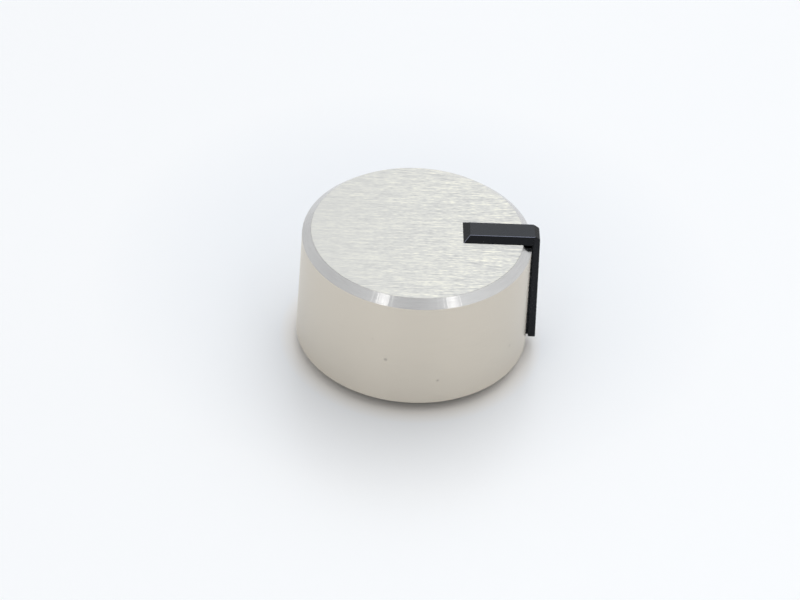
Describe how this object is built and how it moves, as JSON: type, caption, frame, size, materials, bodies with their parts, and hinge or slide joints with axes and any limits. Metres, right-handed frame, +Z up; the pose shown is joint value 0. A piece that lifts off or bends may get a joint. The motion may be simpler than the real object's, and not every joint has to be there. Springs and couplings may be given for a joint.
{
  "type": "oven knob",
  "caption": "Round control knob: slightly flared turned metal cap with a bevelled brushed face, black L-shaped pointer, moulded insert with a socket for a 6 mm flatted shaft.",
  "frame": {"origin": "on the shaft's axis, in the plane that the knob stands on at its open end", "axes": "+Z up along the shaft's axis to the face, +X along the pointer"},
  "size_m": [0.0436, 0.042, 0.0253],
  "materials": {
    "cap_metal": "straight-brushed face, bright turned bevel, satin turned wall",
    "insert_plastic": "moulded, matt",
    "pointer_plastic": "moulded, satin",
    "spring_steel": "bright strip"
  },
  "bodies": {
    "root": {"cap": "cap_metal", "insert": "insert_plastic", "pointer": "pointer_plastic", "spring_clip": "spring_steel"}
  },
  "joints": []
}
